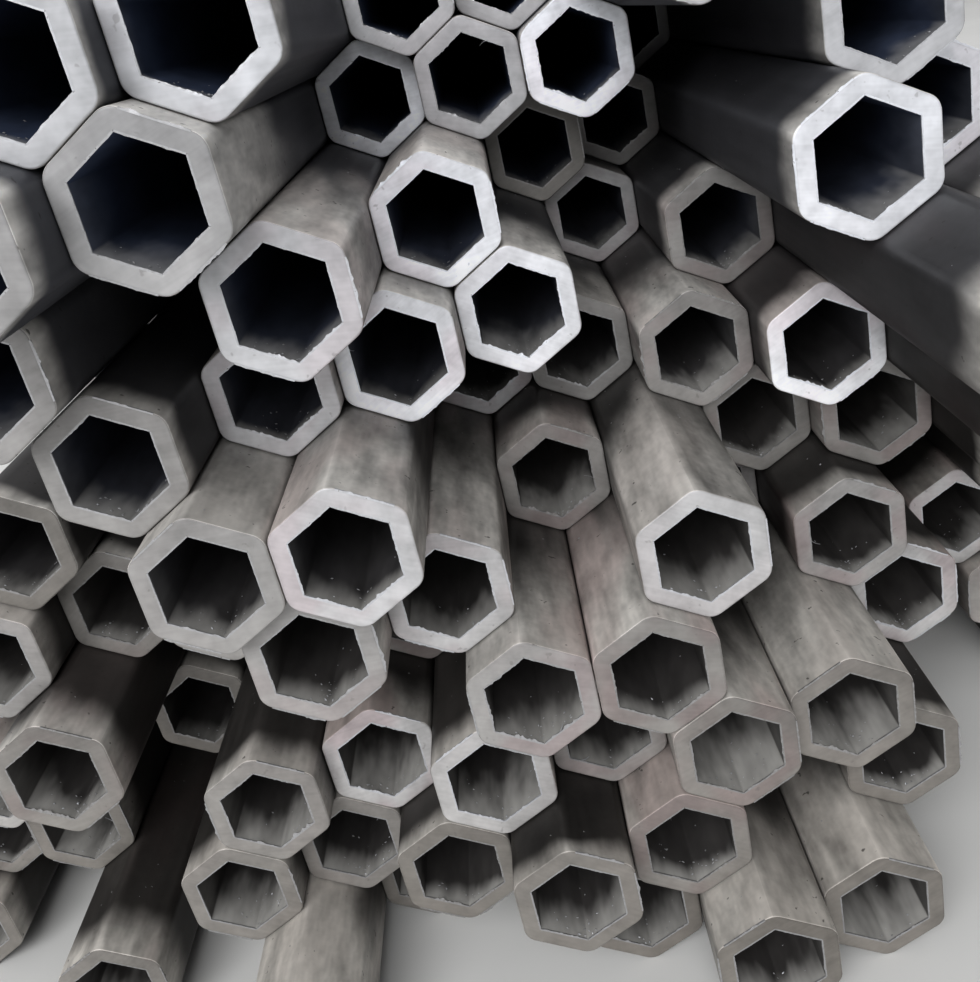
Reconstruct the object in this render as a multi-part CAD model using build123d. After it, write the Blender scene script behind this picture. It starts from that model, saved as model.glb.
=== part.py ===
from build123d import *
import math
import os

# Stack of hexagonal steel pipes, nested like a honeycomb in ten courses.
# Origin: on the floor, under the middle of the stack. +X right, +Y to the far ends, +Z up.

# Pipe section
ACROSS_FLATS = 50.0  # flat to opposite flat, outside
WALL = 7.0
CORNER_RADIUS = 7.0  # outer corners of the drawn section, the bore's corners are sharp
PIPE_LENGTH = 3000.0

# Stack
FIT_GAP = 0.4  # clear gap between the flats of neighbours

# How far each near end stands out of the mean end plane, a course a line, left to right.
# The first line is the bottom course. Each course holds one pipe less than the one below.
# The pipes are cut to one length, so the far ends are staggered the other way.
STAND_OUTS = [
    [70, 0, 130, 20, 180, 90, 50, 140, 180, 160, -70, -70, 0, -30, -30],
    [50, 60, -70, 130, 110, 140, 170, 150, 50, 120, -70, 10, -30, -30],
    [70, -30, 40, 130, 110, 140, 120, 150, 140, 60, 0, 0, 0],
    [30, 140, -20, 50, 60, 150, 150, 0, 70, -100, 30, 30],
    [110, 80, 100, 160, 130, 40, 140, 20, 40, 90, 70],
    [100, -30, 170, 170, -20, -10, 30, 60, 180, 100],
    [-30, 150, 100, 90, 60, -110, -10, 220, 100],
    [170, -30, 150, 60, -90, -150, 130, 50],
    [210, 180, -60, -40, -30, -220, 90],
    [180, 160, -40, -60, 140, 100],
]

# Pipes stored as pieces of their own, as (course, place from the left)
SINGLE_PIPES = [
    (2, 8),
    (3, 8),
    (4, 6),
    (5, 4),
    (5, 7),
    (6, 3),
    (6, 4),
    (7, 5),
    (8, 3),
    (8, 4),
    (8, 7),
    (9, 5),
]

HALF_CORNER_TURN = math.radians(30)  # half the turn from one flat of a hexagon to the next
PITCH = ACROSS_FLATS + FIT_GAP
COURSE_RISE = PITCH * math.cos(HALF_CORNER_TURN)
SHARP_CORNER = ACROSS_FLATS / 2 / math.cos(HALF_CORNER_TURN)
CORNER_LOSS = CORNER_RADIUS / math.cos(HALF_CORNER_TURN) - CORNER_RADIUS
AXIS_ABOVE_FLOOR = SHARP_CORNER - CORNER_LOSS


def hexagon(across_flats):
    """Hexagon standing on a corner."""
    return RegularPolygon(across_flats / 2, 6, major_radius=False, rotation=30)


def pipe_section():
    """Drawn hexagonal tube: rounded outside, sharp-cornered bore."""
    outside = hexagon(ACROSS_FLATS)
    outside = fillet(outside.vertices(), CORNER_RADIUS)
    bore = hexagon(ACROSS_FLATS - 2 * WALL)
    return outside - bore


def make_pipe():
    """One pipe along +Y, with the middle of its near end at the origin."""
    return Rot(X=-90) * extrude(pipe_section(), PIPE_LENGTH)


def near_end(course, place):
    """Where a pipe's near end lies. Courses and places count from 1."""
    stand_outs = STAND_OUTS[course - 1]
    x = (place - (len(stand_outs) + 1) / 2) * PITCH
    y = -PIPE_LENGTH / 2 - stand_outs[place - 1]
    z = AXIS_ABOVE_FLOOR + (course - 1) * COURSE_RISE
    return Pos(x, y, z)


os.makedirs("parts", exist_ok=True)
pipe = make_pipe()

for course, stand_outs in enumerate(STAND_OUTS, start=1):
    places = range(1, len(stand_outs) + 1)
    shared = [place for place in places if (course, place) not in SINGLE_PIPES]
    pipes = [near_end(course, place) * pipe for place in shared]
    export_step(Compound(children=pipes), f"parts/course_{course:02d}.step")

for course, place in SINGLE_PIPES:
    single = near_end(course, place) * pipe
    export_step(single, f"parts/pipe_{course:02d}_{place:02d}.step")
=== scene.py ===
import math
import random

import bpy
import numpy as np
from bpy.props import (
    FloatProperty,
    FloatVectorProperty,
    IntProperty,
    PointerProperty,
)
from mathutils import Matrix, Vector


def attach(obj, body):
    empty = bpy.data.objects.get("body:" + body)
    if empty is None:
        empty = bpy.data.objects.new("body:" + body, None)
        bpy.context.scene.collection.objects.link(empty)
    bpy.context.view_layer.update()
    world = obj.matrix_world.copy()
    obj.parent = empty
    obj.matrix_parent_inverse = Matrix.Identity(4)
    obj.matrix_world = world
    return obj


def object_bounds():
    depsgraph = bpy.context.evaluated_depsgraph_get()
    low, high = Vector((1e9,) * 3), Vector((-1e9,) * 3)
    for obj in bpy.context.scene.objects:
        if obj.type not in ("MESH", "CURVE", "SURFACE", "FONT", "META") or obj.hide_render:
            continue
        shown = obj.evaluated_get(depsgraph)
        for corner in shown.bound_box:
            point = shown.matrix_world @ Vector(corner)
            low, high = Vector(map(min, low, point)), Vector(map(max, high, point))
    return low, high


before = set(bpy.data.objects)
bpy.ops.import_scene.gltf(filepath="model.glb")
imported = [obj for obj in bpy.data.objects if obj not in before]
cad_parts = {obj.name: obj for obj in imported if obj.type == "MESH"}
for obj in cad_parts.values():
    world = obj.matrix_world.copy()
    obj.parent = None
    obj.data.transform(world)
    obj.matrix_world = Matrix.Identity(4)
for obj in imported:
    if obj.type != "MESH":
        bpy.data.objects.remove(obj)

bl_info = {
    "name": "Hexagonal steel pipe stack",
    "version": (1, 0, 0),
    "blender": (4, 5, 0),
    "location": "3D View > Sidebar > Pipe stack",
    "description": "Finishes a stack of hexagonal steel pipes: steel, burrs, swarf and a stage",
    "category": "Object",
}

CAD_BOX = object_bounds()
MM = 0.001
SIN_30 = 0.5
COS_30 = math.cos(math.radians(30))
TAN_30 = math.tan(math.radians(30))

# Section and nest of the pipes, in metres
ACROSS_FLATS = 0.050
WALL = 0.007
CORNER_RADIUS = 0.007
PIPE_LENGTH = 3.0
PITCH = 0.0504
COURSE_RISE = PITCH * COS_30
PIPES_IN_BOTTOM_COURSE = 15
COURSES = 10

# Sizes that follow from the section
HALF_WIDTH = ACROSS_FLATS / 2
HALF_BORE = HALF_WIDTH - WALL
MIDDLE_OF_WALL = HALF_WIDTH - WALL / 2
AXIS_HEIGHT = HALF_WIDTH / COS_30 - (CORNER_RADIUS / COS_30 - CORNER_RADIUS)  # bottom course
BEYOND_CORNERS = 0.57 * PITCH  # radius of a circle that holds one pipe's rounded corners
HALF_FLAT = (HALF_WIDTH - CORNER_RADIUS) * TAN_30  # half the breadth of an outer flat
HALF_BORE_FLAT = HALF_BORE * TAN_30

# The six flats are counted from the right, against the clock, seen from the near ends
SIDES = range(6)
UPPER_FLATS = (1, 2)
LOWER_FLATS = (4, 5)
NEXT_PIPES = ((0, 1), (1, 0), (1, -1), (0, -1), (-1, 0), (-1, 1))  # (courses up, places right)

# Cut ends that stand out by their brightness, as (course, place from the left). It is partly
# their finish and partly painted light and shade: some ends that lie in shadow are set
# brighter, and some deep ends darker where shade falls.
FRESH_AND_PAINTED_BRIGHT_CUTS = ((9, 3), (9, 5), (8, 4), (8, 7), (8, 8), (7, 4), (7, 5), (6, 8))
CLEAN_AND_PAINTED_BRIGHT_CUTS = (
    (10, 1), (10, 2), (9, 7), (8, 3), (7, 3), (6, 4), (6, 5), (5, 5), (5, 7), (3, 5), (3, 6),
    (3, 10), (3, 11),
)
DULL_AND_PAINTED_DARK_CUTS = (
    (8, 5), (8, 6), (7, 7), (6, 1), (6, 7), (5, 2), (5, 6), (5, 8), (5, 9), (4, 2), (4, 5),
    (4, 7), (3, 3), (3, 8), (3, 9), (2, 1), (2, 2), (2, 6), (2, 8), (1, 3), (1, 6),
)

# Each list of cuts with the least brightness of its faces, from finish and painted light, and
# the brightness of its burrs
CUT_FINISH_AND_LIGHT_LEVELS = ((FRESH_AND_PAINTED_BRIGHT_CUTS, 0.90, 0.92), (CLEAN_AND_PAINTED_BRIGHT_CUTS, 0.42, 0.48), (DULL_AND_PAINTED_DARK_CUTS, 0.0, 0.06))

# Pipes whose outsides carry the painted light far back from the ends. The others carry it near
# the cut only.
PAINTED_LIGHT_BODIES = (
    (9, 2), (8, 3), (8, 4), (7, 1), (6, 3), (6, 4), (5, 5), (5, 7), (4, 6), (4, 7), (3, 9),
    (1, 5),
)
HALF_PAINTED_LIGHT_BODIES = (
    (7, 4), (7, 5), (6, 6), (6, 7), (5, 4), (4, 8), (3, 8), (2, 8), (2, 9), (1, 8), (1, 9),
    (1, 10),
)
PAINTED_LIGHT_LEVELS = ((PAINTED_LIGHT_BODIES, 1.25), (HALF_PAINTED_LIGHT_BODIES, 0.65))

# Where the looks change, in metres: two by height, for the painted light that is warm below and
# cold and bright above, and for the painted blue shade of the upper courses; one by the
# distance from the near end, where the body dark with oil and painted shade turns to plain
# steel
WARM_TO_COLD = (0.05, 0.42)
PAINTED_BLUE_SHADE = (0.20, 0.40)
DARK_ENDS_TO_MIDDLE = (0.20, 0.65)

# Noise patterns, as scale, detail and roughness
STREAKS = (110.0, 2.0, 0.65)
BLOTCHES = (26.0, 2.0, 0.6)
SMEARS = (75.0, 3.0, 0.68)
RAGGED = (120.0, 2.0, 0.6)
GRIT = (190.0, 2.0, 0.7)
SAW_LINES = (700.0, 1.0, 0.6)
TORN = (600.0, 2.0, 0.6)
MOTTLE = (3.0, 4.0, 0.6)

# How patterns are stretched: less than 1 draws them out along that axis
LONG_STREAKS = (1.0, 0.03, 1.0)
DRAWN_OUT = (1.0, 0.3, 1.0)
ACROSS_CUT = (0.06, 1.0, 1.0)
SHIFT_BY_PIPE = (7.0, 9.0, 5.0)

# Fixed colours of the shaders
BODY_PITS = (0.025, 0.023, 0.022, 1)
CUT_PITS = (0.14, 0.13, 0.125, 1)
BURR_SPOTS = (0.12, 0.11, 0.105, 1)
# Warm cast of the painted light low in the stack, on the outside and on the cuts
WARM_BODY = (1.03, 1.0, 0.96, 1)
WARM_CUT = (1.03, 0.99, 0.93, 1)
WHITE = (1.0, 1.0, 1.0, 1)

# Worn edges of the cuts
WELD_DISTANCE = 0.01 * MM
SHARP_TURN = math.radians(50)  # only edges with a greater turn are worn

# Burrs and slivers
SKIN = 0.03 * MM  # how far a burr lies off the steel that it grows from
CLEAR_OF_NEIGHBOUR = 4 * MM  # least step between two cut ends with an outer burr between them
SPIKE_CARRY = 0.45  # share of each spike's height that the next one starts from
SPIKE_RARITY = 4  # power of the chance value, so that most spikes stay low
HIGHEST_SPIKE = 1.3  # in heights of the burr
RUN_OUT = 6  # a burr dies away over a sixth of its edge at each corner
UPPER_BURRS = 0.45  # height on the side and upper edges, as a share of that on the lower ones
OUTER_BURR_SHARE = 0.4  # share of the free outer edges that have a burr
SLIVER_STEPS = 9
SLIVER_GLEAM = 0.2  # how much brighter a sliver is than the burrs by it

# Swarf, with distances from the cut end in metres
DEEPEST_SWARF = 0.045
MEAN_SWARF_DEPTH = 0.008
LEAST_SWARF_DEPTH = 0.0015
SWARF_ZONE = 0.2  # bare flats carry swarf this far from the near end
FAR_MOUTH_SWARF = 0.3  # share of a near mouth's swarf that a far one holds
SWARF_SEED_STEP = 7  # keeps the swarf's chance values apart from those of the burrs

# Lamps, as size, place and aim, in metres
KEY_LAMP = ((4.0, 3.0), (-1.0, -5.2, 2.7), (0, -1.4, 0.25))
TOP_LAMP = ((4.0, 4.0), (0.8, 0.8, 4.4), (0, 0.8, 0))
LAMP_SPREAD = math.radians(110)
BACKDROP = 0.85  # strength of the even light where the camera sees it
HALF_FLOOR = 12.0

# Keywords that the properties share
COLOUR = {"subtype": "COLOR", "size": 3, "min": 0, "max": 1}
LENGTH = {"subtype": "DISTANCE", "unit": "LENGTH", "min": 0}
SHARE = {"subtype": "FACTOR", "min": 0, "max": 1}
PLACE = {"subtype": "TRANSLATION", "unit": "LENGTH", "size": 3}


class Pipe:
    """One pipe of the stack, as the frame holds it."""

    def __init__(self, course, place, near, far):
        self.course = course
        self.place = place
        self.x, self.z = axis_of(course, place)
        self.near = near
        self.far = far


def axis_of(course, place):
    """Where a pipe's axis lies, as x and z. Courses and places count from 1."""
    in_course = PIPES_IN_BOTTOM_COURSE + 1 - course
    x = (place - (in_course + 1) / 2) * PITCH
    return x, AXIS_HEIGHT + (course - 1) * COURSE_RISE


def hexagon_distance(x, z):
    """Half the width across flats of the hexagon that passes through a point."""
    slant = COS_30 * z
    to_slanted_flats = np.maximum(np.abs(x / 2 + slant), np.abs(x / 2 - slant))
    return np.maximum(np.abs(x), to_slanted_flats)


def read_pipes():
    """Finds every pipe's ends in the frame's meshes."""
    points = []
    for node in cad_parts.values():
        flat = np.zeros(len(node.data.vertices) * 3, np.float32)
        node.data.vertices.foreach_get("co", flat)
        points.append(flat.reshape(-1, 3))
    points = np.concatenate(points)
    pipes = {}
    for course in range(1, COURSES + 1):
        for place in range(1, PIPES_IN_BOTTOM_COURSE + 2 - course):
            x, z = axis_of(course, place)
            apart = np.hypot(points[:, 0] - x, points[:, 2] - z)
            own = points[apart < BEYOND_CORNERS]
            own = own[hexagon_distance(own[:, 0] - x, own[:, 2] - z) < PITCH / 2]
            near, far = float(own[:, 1].min()), float(own[:, 1].max())
            pipes[course, place] = Pipe(course, place, near, far)
    return pipes


def rgba(colour):
    """A colour with full opacity."""
    return (*colour, 1)


class Graph:
    """Adds nodes to a tree and joins them, one call for one step."""

    def __init__(self, tree):
        self.tree = tree
        tree.nodes.clear()

    def put(self, socket, value):
        """Links another node's output to a socket, or sets the socket's own value."""
        if isinstance(value, bpy.types.NodeSocket):
            self.tree.links.new(value, socket)
        else:
            socket.default_value = value

    def add(self, kind, inputs=None, **settings):
        """Adds a node with its settings and inputs."""
        node = self.tree.nodes.new(kind)
        for name, value in settings.items():
            setattr(node, name, value)
        for key, value in (inputs or {}).items():
            self.put(node.inputs[key], value)
        return node

    def math(self, operation, *values, clamp=False):
        node = self.add("ShaderNodeMath", dict(enumerate(values)), operation=operation)
        node.use_clamp = clamp
        return node.outputs["Value"]

    def vector(self, operation, *values):
        node = self.add("ShaderNodeVectorMath", operation=operation)
        sockets = [socket for socket in node.inputs if socket.enabled]
        for socket, value in zip(sockets, values):
            self.put(socket, value)
        scalar = operation in ("DISTANCE", "DOT_PRODUCT")
        return node.outputs["Value" if scalar else "Vector"]

    def map_range(self, curve, value, low, high, at_low, at_high):
        ends = {"From Min": low, "From Max": high, "To Min": at_low, "To Max": at_high}
        inputs = {"Value": value, **ends}
        node = self.add("ShaderNodeMapRange", inputs, interpolation_type=curve)
        return node.outputs["Result"]

    def smooth(self, value, low, high, at_low=0.0, at_high=1.0):
        return self.map_range("SMOOTHSTEP", value, low, high, at_low, at_high)

    def linear(self, value, low, high, at_low=0.0, at_high=1.0):
        return self.map_range("LINEAR", value, low, high, at_low, at_high)

    def sway(self, base, noise, amount):
        """base, raised or lowered by a noise that swings about one half."""
        return self.math("MULTIPLY_ADD", self.math("SUBTRACT", noise, 0.5), amount, base)

    def mix(self, factor, first, second, blend="MIX"):
        """Mix of two colours."""
        node = self.add("ShaderNodeMix", data_type="RGBA", blend_type=blend)
        self.put(node.inputs[0], factor)
        self.put(node.inputs[6], first)
        self.put(node.inputs[7], second)
        return node.outputs[2]

    def times(self, first, second):
        """Product of two colours."""
        return self.mix(1.0, first, second, "MULTIPLY")

    def shaded(self, colour, tone):
        return self.times(colour, self.join(tone, tone, tone))

    def blend(self, factor, first, second):
        """Mix of two numbers."""
        node = self.add("ShaderNodeMix", data_type="FLOAT")
        self.put(node.inputs[0], factor)
        self.put(node.inputs[2], first)
        self.put(node.inputs[3], second)
        return node.outputs[0]

    def noise(self, place, scale, detail, roughness):
        inputs = {"Vector": place, "Scale": scale, "Detail": detail, "Roughness": roughness}
        return self.add("ShaderNodeTexNoise", inputs).outputs["Fac"]

    def attribute(self, name, output="Vector"):
        return self.add("ShaderNodeAttribute", attribute_name=name).outputs[output]

    def place(self):
        """The shaded point in its object's own axes."""
        return self.add("ShaderNodeTexCoord").outputs["Object"]

    def split(self, vector):
        return self.add("ShaderNodeSeparateXYZ", {0: vector}).outputs

    def join(self, x, y, z):
        return self.add("ShaderNodeCombineXYZ", {0: x, 1: y, 2: z}).outputs["Vector"]

    def listed(self, cell, pipes):
        """1 in the lattice cells of the pipes named by course and place, 0 elsewhere."""
        nearest = float(2 * PIPES_IN_BOTTOM_COURSE)
        for course, place in pipes:
            wanted = (round(2 * axis_of(course, place)[0] / PITCH), 0, course - 1)
            nearest = self.math("MINIMUM", nearest, self.vector("DISTANCE", cell, wanted))
        return self.math("LESS_THAN", nearest, 0.5)

    def end_material(self, inputs):
        """Ends a material's graph with its shader."""
        shader = self.add("ShaderNodeBsdfPrincipled", inputs)
        self.add("ShaderNodeOutputMaterial", {"Surface": shader.outputs["BSDF"]})


def new_material(name):
    """Empty material and the graph of its nodes."""
    material = bpy.data.materials.new(name)
    material.use_nodes = True
    return material, Graph(material.node_tree)


class SteelPoint:
    """What the steel's shader knows of a point: its place on the pipe, chance and noises."""

    def __init__(self, g):
        here = g.place()
        self.local = g.vector("SUBTRACT", here, g.attribute("near_end"))
        from_left, self.from_near, above = g.split(self.local)[:3]
        from_far = g.math("SUBTRACT", PIPE_LENGTH, self.from_near)
        self.depth = g.math("MINIMUM", self.from_near, from_far)
        folded = g.vector("ABSOLUTE", self.local)
        to_slanted_flat = g.vector("DOT_PRODUCT", folded, (SIN_30, 0, COS_30))
        self.across = g.math("MAXIMUM", g.split(folded)[0], to_slanted_flat)
        shape = g.add("ShaderNodeNewGeometry").outputs
        facing = g.split(shape["True Normal"])
        self.is_cut = g.smooth(g.math("ABSOLUTE", facing[1]), 0.35, 0.8)
        soft = 0.5 * MM
        self.in_bore = g.smooth(self.across, MIDDLE_OF_WALL + soft, MIDDLE_OF_WALL - soft)
        self.upward = g.split(shape["Normal"])[2]

        # Chance values: one set for each pipe, one for each flat
        self.chance = g.attribute("chance")
        self.chance_a, self.chance_b, self.chance_c = g.split(self.chance)[:3]
        turn = g.math("ARCTAN2", above, from_left)
        sixths = g.math("MULTIPLY_ADD", turn, 3 / math.pi, 0.5)
        flat = g.math("FLOORED_MODULO", g.math("FLOOR", sixths), 6.0)
        step = g.math("MULTIPLY_ADD", self.chance_a, 30.0, 3.7)
        self.flat_chance = g.math("SINE", g.math("MULTIPLY", g.math("ADD", flat, 1.0), step))

        # Noises, each shifted from pipe to pipe
        shifted = g.vector("MULTIPLY_ADD", self.chance, SHIFT_BY_PIPE, here)
        self.streaks = g.noise(g.vector("MULTIPLY", shifted, LONG_STREAKS), *STREAKS)
        drawn_out = g.vector("MULTIPLY", shifted, DRAWN_OUT)
        self.blotches = g.noise(drawn_out, *BLOTCHES)
        self.smears = g.noise(drawn_out, *SMEARS)
        self.ragged = g.noise(drawn_out, *RAGGED)
        self.grit = g.noise(shifted, *GRIT)
        self.pits = g.smooth(self.grit, 0.68, 0.74)

        # Zones: warm or cold painted light and painted blue shade by height, plain mill finish
        # away from the near ends, where the body is dark with oil and painted shade
        height = g.split(here)[2]
        self.lofty = g.linear(height, *WARM_TO_COLD)
        self.painted_blue_shade = g.smooth(height, *PAINTED_BLUE_SHADE)
        self.inland = g.smooth(self.from_near, *DARK_ENDS_TO_MIDDLE)

        # Heat tint: in patches, on some pipes more than on others
        tint = g.smooth(self.blotches, 0.42, 0.62)
        tint = g.math("MULTIPLY", tint, g.smooth(self.chance_b, 0.3, 0.75, 0.1, 0.9))
        self.tint = g.math("MULTIPLY", tint, g.linear(self.lofty, 0.3, 1.0, 1.0, 0.2))


def body_colour(g, at, finish):
    """Colour of the outside: pale with painted light by the cuts and darker behind, with oil
    and painted shade, and its dust.
    """
    # Painted light from above: the outside grows brighter the higher the pipe lies
    tone = g.linear(at.lofty, 0.0, 1.0, 0.85, 1.25)
    for noise, amount in (
        (at.streaks, 0.6),
        (at.blotches, 1.0),
        (at.smears, 0.8),
        (at.grit, 0.4),
        (at.chance_a, 0.3),
    ):
        tone = g.sway(tone, noise, amount)
    tone = g.math("MULTIPLY_ADD", at.flat_chance, 0.12, tone)
    # Rounded corners lighter: partly rubbed wear, partly painted highlight lines along them
    worn = g.smooth(at.across, HALF_WIDTH - 0.1 * MM, HALF_WIDTH - 0.9 * MM)
    tone = g.math("MULTIPLY_ADD", g.math("MULTIPLY", worn, at.smears), 0.35, tone)
    tone = g.blend(at.inland, tone, g.sway(1.0, at.streaks, 1.8))

    # Painted light by the cut: a pale pool that reaches back from each end, further on the
    # listed pipes, stronger on the flats that face up
    reach = g.math("MULTIPLY_ADD", at.blotches, 0.24, -0.03)
    reach = g.math("MULTIPLY_ADD", at.chance_c, 0.08, reach)
    reach = g.math("MULTIPLY", reach, g.attribute("painted_light_reach", "Fac"))
    painted_light = g.smooth(g.math("DIVIDE", at.depth, reach), 0.0, 1.0, 1.0, 0.0)
    painted_light = g.math("MULTIPLY", painted_light, g.linear(at.upward, -0.6, 0.6, 0.45, 1.0))
    painted_light = g.math("MULTIPLY", painted_light, g.linear(at.smears, 0.3, 0.7, 0.55, 1.15), clamp=True)
    # Painted blue shade on the upper courses
    body = g.mix(at.painted_blue_shade, rgba(finish.body_colour), rgba(finish.upper_body_colour))
    # Dark with oil and painted shade by the ends, plain grey steel further in
    body = g.mix(at.inland, body, rgba(finish.middle_body_colour))
    body = g.mix(painted_light, body, rgba(finish.painted_light_body_colour))
    body = g.shaded(body, tone)
    body = g.mix(at.tint, body, g.times(body, rgba(finish.tint_colour)))

    patches = g.smooth(g.blend(at.inland, at.blotches, at.streaks), 0.34, 0.66)
    dust = g.math("MULTIPLY", g.smooth(at.upward, 0.25, 0.95), patches)
    # Dust on the flats that face up: real further back, and near the ends it follows the
    # painted light by the cut
    dust_and_painted_light = g.math("MAXIMUM", painted_light, g.math("MULTIPLY_ADD", at.inland, 0.4, 0.04))
    dust = g.math("MULTIPLY", dust, g.math("MULTIPLY", dust_and_painted_light, finish.dust))
    body = g.mix(dust, body, rgba(finish.dust_colour))
    body = g.mix(g.math("MULTIPLY", at.pits, 0.75), body, BODY_PITS)
    # Painted warm light low in the stack
    return g.mix(at.lofty, g.times(body, WARM_BODY), body), dust


def bore_colour(g, at, finish):
    """Colour of the bore: powdery by the mouth, where the powder also paints the light that
    falls in and fades into shade, dark scale further in.
    """
    # Powder by the mouth: partly real saw powder, partly painted light that falls into the
    # mouth and fades with depth
    lobes = g.math("MULTIPLY_ADD", at.blotches, 1.1, -0.35)
    lobes = g.math("MULTIPLY_ADD", at.ragged, 0.4, lobes)
    reach = g.math("MULTIPLY", lobes, g.math("MULTIPLY_ADD", at.chance_c, 0.05, 0.009))
    powder = g.smooth(g.math("DIVIDE", at.depth, reach), 0.0, 2.2, 1.0, 0.0)
    powder = g.math("MULTIPLY", powder, g.smooth(at.upward, -0.3, 0.8, 0.0, 0.8), clamp=True)
    powder = g.math("MULTIPLY", powder, g.linear(at.lofty, 0.0, 1.0, 1.0, 0.45))
    # Painted blue shade on the upper courses
    bore = g.mix(at.painted_blue_shade, rgba(finish.bore_colour), rgba(finish.upper_bore_colour))
    bore = g.mix(powder, bore, rgba(finish.powder_colour))
    return g.shaded(bore, g.sway(g.sway(1.0, at.ragged, 1.1), at.smears, 0.8))


def cut_colour(g, at, finish):
    """Colour of the cut face: fresh or dull, with painted light and shade in its brightness,
    and faint saw marks across it.
    """
    turn = g.math("MULTIPLY_ADD", at.chance_a, 1.4, -0.7)
    turned = g.add(
        "ShaderNodeVectorRotate",
        {"Vector": at.local, "Axis": (0, 1, 0), "Angle": turn},
        rotation_type="AXIS_ANGLE",
    ).outputs["Vector"]
    turned = g.vector("ADD", turned, at.chance)
    saw = g.noise(g.vector("MULTIPLY", turned, ACROSS_CUT), *SAW_LINES)
    tone = g.sway(g.sway(1.0, saw, 0.2), at.smears, 0.9)
    to_low_left = (-0.6 / ACROSS_FLATS, 0, -0.8 / ACROSS_FLATS)
    low_left = g.vector("DOT_PRODUCT", at.local, to_low_left)
    slope = g.math("MULTIPLY_ADD", at.chance_a, 0.4, 0.05)
    tone = g.math("MULTIPLY_ADD", low_left, slope, tone)
    rim = g.smooth(at.across, HALF_WIDTH - 1.3 * MM, HALF_WIDTH - 0.2 * MM)
    lip = g.smooth(at.across, HALF_BORE + 1.0 * MM, HALF_BORE + 0.1 * MM)
    tone = g.math("MULTIPLY_ADD", g.math("MULTIPLY", lip, at.ragged), 0.35, tone)
    tone = g.math("MULTIPLY_ADD", g.math("MULTIPLY", rim, at.ragged), -0.25, tone)

    # Brightness of the face by pipe: partly its finish, partly painted light and shade
    freshness_and_light = g.attribute("freshness_and_light", "Fac")
    cut = g.mix(freshness_and_light, rgba(finish.dull_cut_colour), rgba(finish.fresh_cut_colour))
    # Painted warm light low in the stack
    cut = g.mix(at.lofty, g.times(cut, WARM_CUT), cut)
    cut = g.shaded(cut, tone)
    tinted = g.times(cut, rgba(finish.tint_colour))
    cut = g.mix(g.math("MULTIPLY", at.tint, 0.8), cut, tinted)
    return g.mix(g.math("MULTIPLY", at.pits, 0.35), cut, CUT_PITS)


def steel_material(finish):
    """Drawn steel with sawn ends: body, bore and cut face in one material, told by shape."""
    material, g = new_material("Drawn steel")
    at = SteelPoint(g)
    body, dust = body_colour(g, at, finish)
    bore = bore_colour(g, at, finish)
    cut = cut_colour(g, at, finish)
    colour = g.mix(at.is_cut, g.mix(at.in_bore, body, bore), cut)

    dusty_streaks = g.math("ADD", at.streaks, g.math("MULTIPLY", dust, 0.6))
    rough_body = g.linear(dusty_streaks, 0.3, 1.1, 0.42, 0.68)
    rough_cut = g.linear(at.smears, 0.3, 0.7, 0.38, 0.52)
    rough = g.blend(at.is_cut, g.blend(at.in_bore, rough_body, 0.65), rough_cut)
    metal_body = g.math("MULTIPLY_ADD", dust, -0.3, 0.3)
    metal = g.blend(at.is_cut, g.blend(at.in_bore, metal_body, 0.1), 0.3)
    looks = {"Base Color": colour, "Roughness": rough, "Metallic": metal}
    looks["Specular IOR Level"] = 0.2
    g.end_material(looks)
    return material


def burr_material(finish):
    """Torn steel of the burrs: as bright as the cut that they hang on, painted light and shade
    included, with darker spots.
    """
    material, g = new_material("Burr steel")
    patches = g.noise(g.place(), *TORN)
    base = g.math("ADD", g.attribute("shade", "Fac"), -0.2)
    shade = g.math("MULTIPLY_ADD", patches, 0.5, base, clamp=True)
    colour = g.mix(shade, rgba(finish.dull_cut_colour), rgba(finish.fresh_cut_colour))
    colour = g.mix(g.smooth(patches, 0.62, 0.75), colour, BURR_SPOTS)
    g.end_material({"Base Color": colour, "Roughness": 0.42, "Metallic": 0.4})
    return material


def floor_material(stage):
    """Pale floor with faint mottling."""
    material, g = new_material("Pale floor")
    mottle = g.linear(g.noise(g.place(), *MOTTLE), 0.3, 0.7, 0.97, 1.03)
    tone = g.shaded(rgba(stage.floor_colour), mottle)
    g.end_material({"Base Color": tone, "Roughness": 0.7})
    return material


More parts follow.
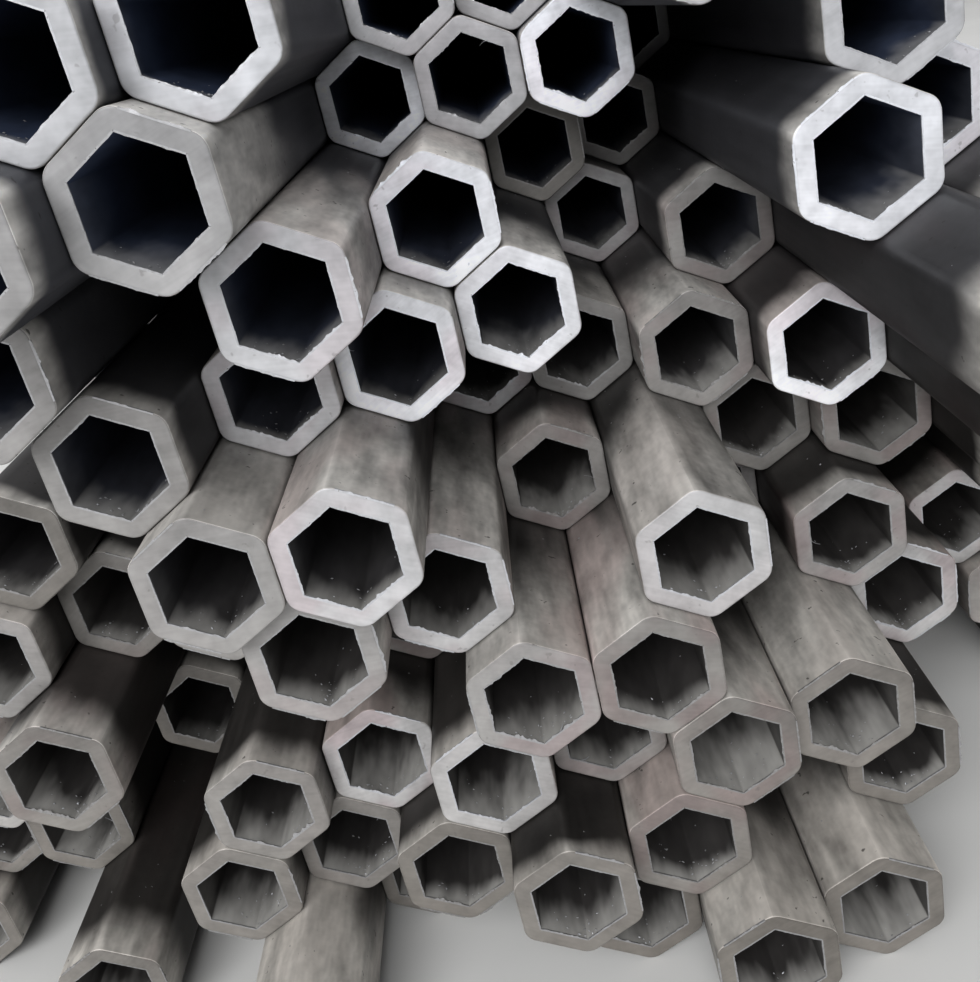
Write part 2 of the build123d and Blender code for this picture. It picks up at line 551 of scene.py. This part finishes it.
def pipe_marks_tree():
    """Geometry nodes: mark every pipe with its near end, chance values and looks."""
    tree = bpy.data.node_groups.new("Pipe marks", "GeometryNodeTree")
    for way in ("INPUT", "OUTPUT"):
        tree.interface.new_socket("Geometry", in_out=way, socket_type="NodeSocketGeometry")
    g = Graph(tree)

    # The middle of a pipe's points gives its cell in the nest, and so its axis
    marked = g.add("NodeGroupInput").outputs["Geometry"]
    island = g.add("GeometryNodeInputMeshIsland").outputs["Island Index"]
    here = g.add("GeometryNodeInputPosition").outputs["Position"]
    sums = g.add(
        "GeometryNodeAccumulateField",
        {"Value": here, "Group ID": island},
        data_type="FLOAT_VECTOR",
    )
    counts = g.add("GeometryNodeAccumulateField", {"Value": 1.0, "Group ID": island})
    count = counts.outputs["Total"]
    middle = g.vector("DIVIDE", sums.outputs["Total"], g.join(count, count, count))
    corner = (PITCH / 4, 0, COURSE_RISE / 2 - AXIS_HEIGHT)
    from_corner = g.vector("ADD", middle, corner)
    steps = g.vector("MULTIPLY", from_corner, (2 / PITCH, 0, 1 / COURSE_RISE))
    cell = g.vector("FLOOR", steps)
    column, _, row = g.split(cell)[:3]
    near_end = g.join(
        g.math("MULTIPLY", column, PITCH / 2),
        g.math("SUBTRACT", g.split(middle)[1], PIPE_LENGTH / 2),
        g.math("MULTIPLY_ADD", row, COURSE_RISE, AXIS_HEIGHT),
    )

    # Looks by chance, then those of the listed pipes
    dice = g.add("ShaderNodeTexWhiteNoise", {"Vector": cell}, noise_dimensions="3D")
    chance = dice.outputs["Color"]
    spread = g.split(chance)[1]
    # Painted light: cut faces grow brighter from the bottom course to the top
    painted_light_by_height = g.linear(row, 0.0, COURSES - 1.0, 0.0, 0.16)
    freshness_and_light = g.math("MULTIPLY_ADD", spread, 0.28, painted_light_by_height)
    # Listed cuts: brightness partly from finish, partly painted light and shade
    for cuts, least, _ in CUT_FINISH_AND_LIGHT_LEVELS:
        level = g.math("MULTIPLY_ADD", spread, 0.12, least)
        freshness_and_light = g.blend(g.listed(cell, cuts), freshness_and_light, level)
    # How far the painted light by the cut reaches back
    painted_light_reach = g.math("MULTIPLY_ADD", spread, 0.16, 0.10)
    for bodies, level in PAINTED_LIGHT_LEVELS:
        painted_light_reach = g.blend(g.listed(cell, bodies), painted_light_reach, level)

    for name, value, kind in (
        ("near_end", near_end, "FLOAT_VECTOR"),
        ("painted_light_reach", painted_light_reach, "FLOAT"),
        ("chance", chance, "FLOAT_VECTOR"),
        ("freshness_and_light", freshness_and_light, "FLOAT"),
    ):
        inputs = {"Geometry": marked, "Name": name, "Value": value}
        store = g.add("GeometryNodeStoreNamedAttribute", inputs, data_type=kind)
        marked = store.outputs["Geometry"]
    g.add("NodeGroupOutput", {"Geometry": marked})
    return tree


def make_mesh(name, vertices, faces, material):
    """Mesh object from lists of points and faces, linked to the scene."""
    mesh = bpy.data.meshes.new(name)
    mesh.from_pydata([tuple(v) for v in vertices], [], faces)
    mesh.update()
    mesh.materials.append(material)
    piece = bpy.data.objects.new(name, mesh)
    bpy.context.scene.collection.objects.link(piece)
    return piece


class Parts:
    """Gathers small closed shapes into one mesh."""

    def __init__(self):
        self.vertices = []
        self.faces = []
        self.shades = []

    def take(self, shape, shade):
        """Adds a shape, given as its points and faces, in one shade."""
        vertices, faces = shape
        base = len(self.vertices)
        self.vertices += vertices
        self.faces += [tuple(base + index for index in face) for face in faces]
        self.shades += [shade] * len(vertices)

    def finish(self, name, material):
        """Makes the piece. Tips that stick out of the pipes' own box are drawn back to it."""
        inside = np.clip(np.array(self.vertices), CAD_BOX[0], CAD_BOX[1]).tolist()
        piece = make_mesh(name, inside, self.faces, material)
        shades = piece.data.attributes.new("shade", "FLOAT", "POINT")
        shades.data.foreach_set("value", self.shades)
        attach(piece, "root")


def cut_finish_and_light(pipe):
    """How bright a pipe's burrs are, from 0 for dull to 1 for fresh: partly the finish of its
    cut, partly painted light that rises with the course.
    """
    for cuts, _, shade in CUT_FINISH_AND_LIGHT_LEVELS:
        if (pipe.course, pipe.place) in cuts:
            return shade
    return 0.14 + 0.16 * (pipe.course - 1) / (COURSES - 1)


def radial_of(side):
    """Direction from a pipe's axis to the middle of one flat, or between two flats."""
    angle = math.radians(60 * side)
    return Vector((math.cos(angle), 0, math.sin(angle)))


def edge_of(end, side, reach, half):
    """Both ends of one edge of the cut face."""
    middle = end + radial_of(side) * reach
    across = radial_of(side + 1.5) * half
    return middle - across, middle + across


def neighbour(pipes, pipe, side):
    """The pipe that lies against one flat, or None."""
    up, right = NEXT_PIPES[side]
    return pipes.get((pipe.course + up, pipe.place + right))


def is_free(pipes, pipe, side, is_near):
    """Whether a cut edge stands clear of the pipe next to it, or of the floor."""
    other = neighbour(pipes, pipe, side)
    if other is None:
        return pipe.course > 1 or side not in LOWER_FLATS
    if is_near:
        return other.near > pipe.near + CLEAR_OF_NEIGHBOUR
    return other.far < pipe.far - CLEAR_OF_NEIGHBOUR


def bare_length(pipes, pipe, side):
    """How far one flat lies bare behind the near end."""
    other = neighbour(pipes, pipe, side)
    return PIPE_LENGTH if other is None else max(0.0, other.near - pipe.near)


def strip_faces(steps):
    """Faces of a closed strip with three sides, whose points come in threes."""
    faces = []
    for base in range(0, 3 * steps, 3):
        for corner in range(3):
            follow = (corner + 1) % 3
            faces.append((base + corner, base + follow, base + 3 + follow, base + 3 + corner))
    last = 3 * steps
    faces.append((0, 2, 1))
    faces.append((last, last + 1, last + 2))
    return faces


def ridge(chance, edge, inward, out, tall, steps):
    """Ragged burr along one edge of a cut face.

    edge holds the edge's two ends, inward points off the wall, out points off the face.
    """
    start, end = edge
    vertices = []
    spike = 0.0
    for step in range(steps + 1):
        share = step / steps
        here = start.lerp(end, share)
        spike = SPIKE_CARRY * spike + chance.random() ** SPIKE_RARITY
        from_corner = min(share, 1 - share) * RUN_OUT
        high = tall * min(1.0, from_corner) * min(HIGHEST_SPIKE, spike)
        foot = here - inward * (0.55 * MM) + out * SKIN
        root = here + inward * SKIN - out * (0.75 * MM)
        tip = here + inward * (SKIN + high) + out * (SKIN * 1.5 - 0.35 * high)
        vertices += [foot, tip, root]
    return vertices, strip_faces(steps)


def sliver(chance, start, toward, inward, out):
    """Thin curled strip of torn steel that hangs from an edge."""
    along = (toward - start).normalized()
    length = chance.uniform(2.5, 6.0) * MM
    lean = chance.uniform(0.25, 0.6)
    curl = chance.uniform(0.5, 1.3)
    thick = chance.uniform(0.12, 0.22) * MM
    vertices = []
    place = start - inward * (0.3 * MM) - out * (0.3 * MM)
    for step in range(SLIVER_STEPS + 1):
        share = step / SLIVER_STEPS
        turn = lean + curl * share
        heading = along * math.cos(turn) + inward * math.sin(turn)
        if step:
            place = place + heading * (length / SLIVER_STEPS)
        width = thick * (1.15 - share)
        side = heading.cross(out).normalized() * width
        vertices += [place + out * (0.2 * MM), place + side, place - side - out * (0.35 * MM)]
    return vertices, strip_faces(SLIVER_STEPS)


def chip(chance, spot, normal, size):
    """Small flat flake of swarf that lies on a face."""
    along = Vector((0, 1, 0))
    across = normal.cross(along)
    turn = chance.uniform(0, math.pi)
    first = along * math.cos(turn) + across * math.sin(turn)
    second = normal.cross(first)
    first = (first + normal * chance.uniform(-0.25, 0.25)) * size / 2
    second = (second + normal * chance.uniform(-0.25, 0.25)) * size * chance.uniform(0.15, 0.4)
    up = normal * size * chance.uniform(0.10, 0.22)
    middle = spot + up * 0.8
    vertices = [
        middle + first,
        middle + second + first * chance.uniform(-0.3, 0.3),
        middle - first,
        middle - second + first * chance.uniform(-0.3, 0.3),
        middle + up,
        middle - up,
    ]
    faces = []
    for corner in range(4):
        follow = (corner + 1) % 4
        faces.append((corner, follow, 4))
        faces.append((follow, corner, 5))
    return vertices, faces


def burr_one_end(parts, chance, sizes, pipes, pipe, is_near):
    """Adds the burrs and slivers of one cut end."""
    end = Vector((pipe.x, pipe.near if is_near else pipe.far, pipe.z))
    out = Vector((0, -1 if is_near else 1, 0))
    steps = sizes.steps if is_near else sizes.steps // 2
    raggedness = chance.uniform(0.25, 1.0)
    shade = cut_finish_and_light(pipe)
    for side in SIDES:
        radial = radial_of(side)
        mouth = edge_of(end, side, HALF_BORE, HALF_BORE_FLAT)
        lower = 1.0 if side in LOWER_FLATS else UPPER_BURRS
        tall = sizes.tall * raggedness * lower * chance.uniform(0.4, 1.0)
        parts.take(ridge(chance, mouth, -radial, out, tall, steps), shade)
        if chance.random() < OUTER_BURR_SHARE and is_free(pipes, pipe, side, is_near):
            rim = edge_of(end, side, HALF_WIDTH, HALF_FLAT)
            tall = sizes.tall * chance.uniform(0.2, 0.6)
            parts.take(ridge(chance, rim, radial, out, tall, steps), shade)
        if chance.random() < sizes.sliver_share:
            start = mouth[0].lerp(mouth[1], chance.uniform(0.1, 0.5))
            parts.take(sliver(chance, start, mouth[1], -radial, out), shade + SLIVER_GLEAM)


def strew_in_mouth(parts, chance, sizes, pipe, is_near):
    """Adds the swarf that lies on the lower flats of one mouth."""
    end, way, share = (pipe.near, 1, 1.0) if is_near else (pipe.far, -1, FAR_MOUTH_SWARF)
    for _ in range(int(sizes.chips * share * chance.uniform(0.3, 1.0))):
        side = chance.choice(LOWER_FLATS)
        radial = radial_of(side)
        to_groove = HALF_BORE_FLAT * (0.98 - 1.6 * chance.random() ** 1.6)
        spread = radial_of(side + 1.5) * (to_groove if side == LOWER_FLATS[0] else -to_groove)
        depth = chance.expovariate(1 / MEAN_SWARF_DEPTH) + LEAST_SWARF_DEPTH
        middle = Vector((pipe.x, end + way * min(DEEPEST_SWARF, depth), pipe.z))
        spot = middle + radial * HALF_BORE + spread
        size = sizes.chip_size * chance.uniform(0.35, 1.0)
        parts.take(chip(chance, spot, -radial, size), chance.uniform(0.1, 0.6))


def strew_on_flat(parts, chance, sizes, pipe, side, bare):
    """Adds the swarf that lies on the bare part of one upper flat."""
    for _ in range(int(bare * sizes.outer_chips)):
        radial = radial_of(side)
        spread = radial_of(side + 1.5) * (HALF_FLAT * chance.uniform(-0.9, 0.9))
        depth = chance.uniform(2 * MM, bare - 1 * MM)
        middle = Vector((pipe.x, pipe.near + depth, pipe.z))
        spot = middle + radial * HALF_WIDTH + spread
        size = sizes.chip_size * chance.uniform(0.3, 0.8)
        parts.take(chip(chance, spot, radial, size), chance.uniform(0.0, 0.4))


def aimed(place, aim):
    """Matrix of a lamp or camera that stands at one point and looks at another."""
    turn = (Vector(aim) - Vector(place)).to_track_quat("-Z", "Y").to_matrix().to_4x4()
    return Matrix.Translation(place) @ turn


def set_floor(stage):
    """Wide plain floor under the stack."""
    half = HALF_FLOOR
    corners = [(-half, -half, 0), (half, -half, 0), (half, half, 0), (-half, half, 0)]
    floor = make_mesh("floor", corners, [(0, 1, 2, 3)], floor_material(stage))


def set_lights(scene, stage):
    """Even light from all round, brighter where the camera sees it, and two large lamps."""
    world = bpy.data.worlds.new("Studio")
    scene.world = world
    world.use_nodes = True
    g = Graph(world.node_tree)
    seen = g.add("ShaderNodeLightPath").outputs["Is Camera Ray"]
    strength = g.blend(seen, stage.fill, BACKDROP)
    background = g.add("ShaderNodeBackground", {"Color": WHITE, "Strength": strength})
    g.add("ShaderNodeOutputWorld", {"Surface": background.outputs["Background"]})

    for name, power, (size, place, aim) in (
        ("key", stage.key_power, KEY_LAMP),
        ("top", stage.top_power, TOP_LAMP),
    ):
        lamp = bpy.data.lights.new(name, "AREA")
        lamp.shape = "RECTANGLE"
        lamp.size, lamp.size_y = size
        lamp.energy = power
        lamp.spread = LAMP_SPREAD
        light = bpy.data.objects.new(name, lamp)
        scene.collection.objects.link(light)
        light.matrix_world = aimed(place, aim)


def set_camera(scene, stage):
    """Camera at the photograph's angle."""
    lens = bpy.data.cameras.new("camera")
    lens.lens = stage.focal_length
    lens.sensor_width = 36
    lens.clip_start = 0.01
    camera = bpy.data.objects.new("camera", lens)
    scene.collection.objects.link(camera)
    lean = Matrix.Rotation(-stage.camera_roll, 4, "Z")
    camera.matrix_world = aimed(stage.camera_place, stage.camera_aim) @ lean
    scene.camera = camera


class StackFinish(bpy.types.PropertyGroup):
    """Colours and dust of the drawn steel."""

    # Near the ends the outside is dark with oil and with painted shade of the pile
    body_colour: FloatVectorProperty(
        name="Body",
        description="Drawn outside of the pipes",
        default=(0.040, 0.038, 0.037),
        **COLOUR,
    )
    # Upper courses: the dark outside with a painted blue cast of the shade
    upper_body_colour: FloatVectorProperty(
        name="Upper body",
        description="Drawn outside of the pipes of the upper courses",
        default=(0.052, 0.054, 0.063),
        **COLOUR,
    )
    middle_body_colour: FloatVectorProperty(
        name="Middle body",
        description="Drawn outside away from the near ends",
        default=(0.19, 0.187, 0.183),
        **COLOUR,
    )
    # Painted light on the outside by the cut ends
    painted_light_body_colour: FloatVectorProperty(
        name="Body by the ends",
        description="Outside of the pipes near their cut ends",
        default=(0.76, 0.745, 0.72),
        **COLOUR,
    )
    tint_colour: FloatVectorProperty(
        name="Heat tint",
        description="Faint brown and purple patches on the outside",
        default=(0.86, 0.72, 0.74),
        **COLOUR,
    )
    dust_colour: FloatVectorProperty(
        name="Dust",
        description="Dust on the flats that face up",
        default=(0.36, 0.345, 0.32),
        **COLOUR,
    )
    dust: FloatProperty(
        name="Dust amount",
        description="How much of the upper flats the dust covers",
        default=0.5,
        **SHARE,
    )
    bore_colour: FloatVectorProperty(
        name="Bore",
        description="Dark scale inside the pipes",
        default=(0.045, 0.042, 0.041),
        **COLOUR,
    )
    # Upper courses: the dark scale with a painted blue cast of the shade
    upper_bore_colour: FloatVectorProperty(
        name="Upper bores",
        description="Dark scale inside the pipes of the upper courses",
        default=(0.040, 0.054, 0.096),
        **COLOUR,
    )
    # Partly real saw powder, partly painted light in the mouths
    powder_colour: FloatVectorProperty(
        name="Saw powder",
        description="Pale powder inside the mouths",
        default=(0.48, 0.47, 0.45),
        **COLOUR,
    )
    fresh_cut_colour: FloatVectorProperty(
        name="Fresh cut",
        description="Cut faces that were sawn last",
        default=(0.84, 0.865, 0.93),
        **COLOUR,
    )
    dull_cut_colour: FloatVectorProperty(
        name="Dull cut",
        description="Cut faces that have gone dull",
        default=(0.20, 0.193, 0.185),
        **COLOUR,
    )
    edge_break: FloatProperty(
        name="Edge break",
        description="Width of the worn edge round each cut",
        default=0.0007,
        max=0.002,
        **LENGTH,
    )


class BurrSizes(bpy.types.PropertyGroup):
    """Sizes of the burrs and swarf."""

    tall: FloatProperty(
        name="Burr height",
        description="Height of the burrs in the most ragged mouths",
        default=0.0013,
        max=0.004,
        **LENGTH,
    )
    steps: IntProperty(
        name="Steps",
        description="Steps along each side of a ragged edge",
        default=26,
        min=4,
        max=60,
    )
    sliver_share: FloatProperty(
        name="Slivers",
        description="Share of the mouths' edges with a hanging sliver",
        default=0.025,
        **SHARE,
    )
    chips: IntProperty(
        name="Chips",
        description="Most swarf chips in a near mouth",
        default=26,
        min=0,
        max=200,
    )
    outer_chips: IntProperty(
        name="Chips on flats",
        description="Swarf chips on each metre of a bare upper flat, by the near end only",
        default=40,
        min=0,
        max=500,
    )
    chip_size: FloatProperty(
        name="Chip size",
        description="Length of the longest chips",
        default=0.0016,
        max=0.01,
        **LENGTH,
    )
    seed: IntProperty(name="Seed", description="Start of the chance values", default=11)


class StageSettings(bpy.types.PropertyGroup):
    """Floor, lights and camera."""

    floor_colour: FloatVectorProperty(
        name="Floor",
        description="Colour of the floor",
        default=(0.78, 0.78, 0.77),
        **COLOUR,
    )
    key_power: FloatProperty(
        name="Key light",
        description="Power of the large lamp in front of the near ends, in watts",
        default=79,
        min=0,
        max=2000,
    )
    top_power: FloatProperty(
        name="Top light",
        description="Power of the large lamp above the middle, in watts",
        default=42,
        min=0,
        max=2000,
    )
    fill: FloatProperty(
        name="Fill",
        description="Strength of the even light from all round",
        default=0.34,
        min=0,
        max=2,
    )
    camera_place: FloatVectorProperty(
        name="Camera",
        description="Where the camera stands",
        default=(0.0028, -2.0026, 0.4083),
        **PLACE,
    )
    camera_aim: FloatVectorProperty(
        name="Aim",
        description="Point that the camera looks at",
        default=(-0.0293, -1.56, 0.2115),
        **PLACE,
    )
    camera_roll: FloatProperty(
        name="Roll",
        description="Lean of the camera to the right",
        default=math.radians(13.5),
        subtype="ANGLE",
        unit="ROTATION",
    )
    focal_length: FloatProperty(
        name="Focal length",
        description="Focal length on a 36 mm sensor, in millimetres",
        default=39.53,
        min=10,
        max=200,
    )


class PIPES_OT_finish_steel(bpy.types.Operator):
    """Break the cut edges of the pipes and give them the drawn-steel finish"""

    bl_idname = "pipes.finish_steel"
    bl_label = "Finish steel"

    def execute(self, context):
        finish = context.scene.pipe_finish
        steel = steel_material(finish)
        marks = pipe_marks_tree()
        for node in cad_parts.values():
            for index in range(len(node.material_slots)):
                node.material_slots[index].material = steel
            weld = node.modifiers.new("Joined faces", "WELD")
            weld.merge_threshold = WELD_DISTANCE
            edges = node.modifiers.new("Broken edges", "BEVEL")
            edges.width = finish.edge_break
            edges.segments = 2
            edges.limit_method = "ANGLE"
            edges.angle_limit = SHARP_TURN
            marked = node.modifiers.new("Pipe marks", "NODES")
            marked.node_group = marks
            normals = node.modifiers.new("Flat faces", "WEIGHTED_NORMAL")
            normals.weight = 60
        return {"FINISHED"}


class PIPES_OT_add_burrs(bpy.types.Operator):
    """Add the ragged burrs and slivers that the saw left round the cut faces"""

    bl_idname = "pipes.add_burrs"
    bl_label = "Add burrs"

    def execute(self, context):
        sizes = context.scene.burr_sizes
        material = burr_material(context.scene.pipe_finish)
        pipes = read_pipes()
        for name, is_near in (("saw_burrs_near", True), ("saw_burrs_far", False)):
            chance = random.Random(sizes.seed + (not is_near))
            parts = Parts()
            for pipe in pipes.values():
                burr_one_end(parts, chance, sizes, pipes, pipe, is_near)
            parts.finish(name, material)
        return {"FINISHED"}


class PIPES_OT_add_swarf(bpy.types.Operator):
    """Strew saw chips inside the mouths and on the flats by the near ends"""

    bl_idname = "pipes.add_swarf"
    bl_label = "Add swarf"

    def execute(self, context):
        sizes = context.scene.burr_sizes
        material = burr_material(context.scene.pipe_finish)
        pipes = read_pipes()
        chance = random.Random(sizes.seed + SWARF_SEED_STEP)
        inside = Parts()
        outside = Parts()
        for pipe in pipes.values():
            for is_near in (True, False):
                strew_in_mouth(inside, chance, sizes, pipe, is_near)
            for side in UPPER_FLATS:
                bare = min(bare_length(pipes, pipe, side), SWARF_ZONE)
                strew_on_flat(outside, chance, sizes, pipe, side, bare)
        inside.finish("swarf_in_mouths", material)
        outside.finish("swarf_on_flats", material)
        return {"FINISHED"}


class PIPES_OT_set_stage(bpy.types.Operator):
    """Set the floor, the lights and the camera"""

    bl_idname = "pipes.set_stage"
    bl_label = "Set stage"

    def execute(self, context):
        scene = context.scene
        stage = scene.stage_settings
        set_floor(stage)
        set_lights(scene, stage)
        set_camera(scene, stage)
        scene.cycles.max_bounces = 1
        scene.cycles.diffuse_bounces = 1
        scene.cycles.glossy_bounces = 1
        scene.cycles.use_light_tree = False
        scene.view_settings.view_transform = "Standard"
        return {"FINISHED"}


class PIPES_PT_stack(bpy.types.Panel):
    """Lists the steps and their sizes and colours"""

    bl_idname = "PIPES_PT_stack"
    bl_label = "Pipe stack"
    bl_space_type = "VIEW_3D"
    bl_region_type = "UI"
    bl_category = "Pipe stack"

    def draw(self, context):
        layout = self.layout
        for settings, operators in (
            (context.scene.pipe_finish, ("pipes.finish_steel",)),
            (context.scene.burr_sizes, ("pipes.add_burrs", "pipes.add_swarf")),
            (context.scene.stage_settings, ("pipes.set_stage",)),
        ):
            box = layout.box()
            for name in settings.__annotations__:
                box.prop(settings, name)
            for operator in operators:
                box.operator(operator)


CLASSES = (
    StackFinish,
    BurrSizes,
    StageSettings,
    PIPES_OT_finish_steel,
    PIPES_OT_add_burrs,
    PIPES_OT_add_swarf,
    PIPES_OT_set_stage,
    PIPES_PT_stack,
)


def register():
    for cls in CLASSES:
        bpy.utils.register_class(cls)
    bpy.types.Scene.pipe_finish = PointerProperty(type=StackFinish)
    bpy.types.Scene.burr_sizes = PointerProperty(type=BurrSizes)
    bpy.types.Scene.stage_settings = PointerProperty(type=StageSettings)


def unregister():
    del bpy.types.Scene.stage_settings
    del bpy.types.Scene.burr_sizes
    del bpy.types.Scene.pipe_finish
    for cls in reversed(CLASSES):
        bpy.utils.unregister_class(cls)


def main():
    """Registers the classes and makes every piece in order."""
    register()
    bpy.ops.pipes.finish_steel()
    bpy.ops.pipes.add_burrs()
    bpy.ops.pipes.add_swarf()
    bpy.ops.pipes.set_stage()


if __name__ == "__main__":
    main()
